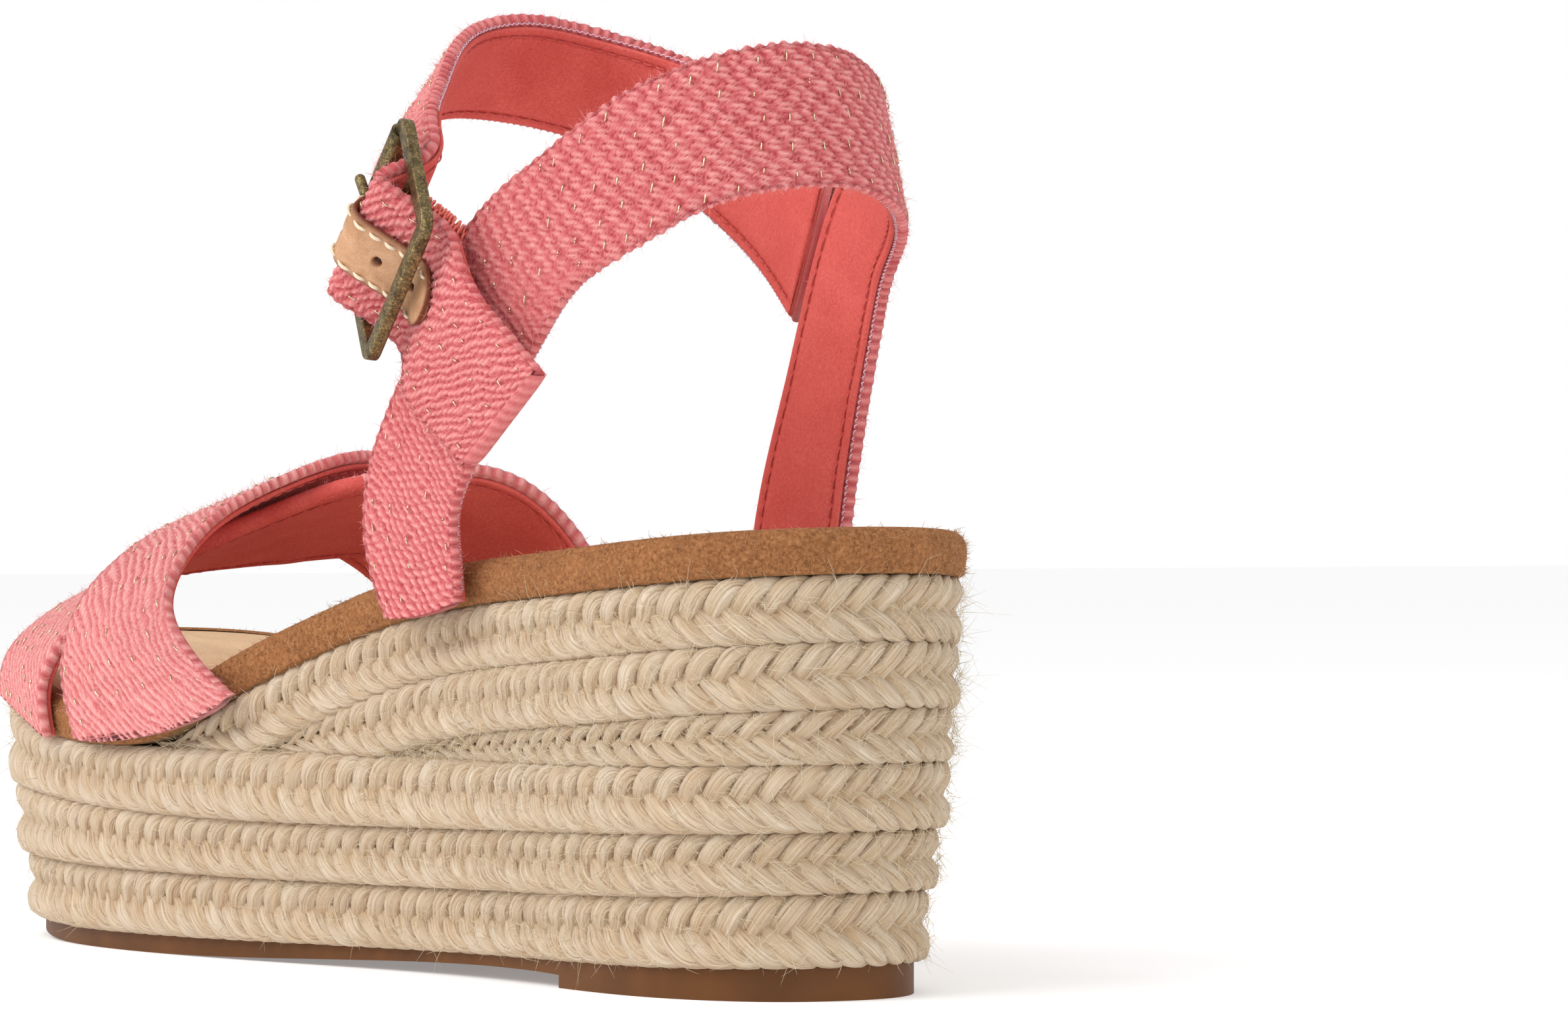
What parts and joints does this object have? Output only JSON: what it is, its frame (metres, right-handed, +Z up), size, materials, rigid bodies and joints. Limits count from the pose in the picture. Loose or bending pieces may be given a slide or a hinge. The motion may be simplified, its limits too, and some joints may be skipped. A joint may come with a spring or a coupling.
{
  "type": "wedge sandal",
  "caption": "Open wedge platform sandal with a braided jute sole, crossed webbing toe straps, a heel strap and a buckled ankle strap",
  "frame": {"origin": "middle of the bounding box at ground level", "axes": "-X towards the toe, +X towards the heel, -Y the outer side of the foot, +Y the inner side, +Z up"},
  "size_m": [0.2442, 0.0957, 0.1534],
  "materials": {
    "outsole": "matt",
    "sole_core": "matt",
    "jute": "woven",
    "insole_board": "matt",
    "footbed_foam": "matt",
    "footbed_edge_wrap": "suede",
    "sock_lining": "suede",
    "hole_tab": "suede",
    "elastic_loop": "woven",
    "antique_brass": "antique",
    "webbing": "woven",
    "strap_lining": "woven"
  },
  "bodies": {
    "sandal": {"ankle_strap_lining": "strap_lining", "ankle_strap_webbing": "webbing", "elastic_loop": "elastic_loop", "footbed_edge_wrap": "footbed_edge_wrap", "footbed_foam": "footbed_foam", "heel_strap_lining": "strap_lining", "heel_strap_webbing": "webbing", "hole_tab": "hole_tab", "insole_board": "insole_board", "outsole": "outsole", "platform_braid_lower": "jute", "platform_braid_middle": "jute", "platform_braid_upper": "jute", "sock_lining": "sock_lining", "sole_core": "sole_core", "toe_strap_over_lining": "strap_lining", "toe_strap_over_webbing": "webbing", "toe_strap_under_lining": "strap_lining", "toe_strap_under_webbing": "webbing", "wedge_braid_lower": "jute", "wedge_braid_middle": "jute", "wedge_braid_upper": "jute"},
    "buckle": {"buckle_frame": "antique_brass"},
    "roller_tube": {"roller": "antique_brass"},
    "prong_arm": {"prong": "antique_brass"},
    "tail": {"strap_tail_lining": "strap_lining", "strap_tail_webbing": "webbing"}
  },
  "joints": [
    {"name": "buckle_rock", "type": "hinge", "parent": "sandal", "child": "buckle", "pos_m": [0.0452, -0.039, 0.1148], "axis": [-0.7143, 0.0679, -0.6965], "range_deg": [-2.5, 2.5]},
    {"name": "roller_spin", "type": "hinge", "parent": "buckle", "child": "roller_tube", "pos_m": [0.03743, -0.03625, 0.12304], "axis": [-0.7143, 0.0679, -0.6965], "continuous": true},
    {"name": "prong_lift", "type": "hinge", "parent": "buckle", "child": "prong_arm", "pos_m": [0.0452, -0.039, 0.1148], "axis": [0.7143, -0.0679, 0.6965], "range_deg": [0, 45]},
    {"name": "tail_lift", "type": "hinge", "parent": "sandal", "child": "tail", "pos_m": [0.059, -0.0385, 0.10007], "axis": [-0.7368, -0.0084, -0.6761], "range_deg": [0, 40]}
  ]
}
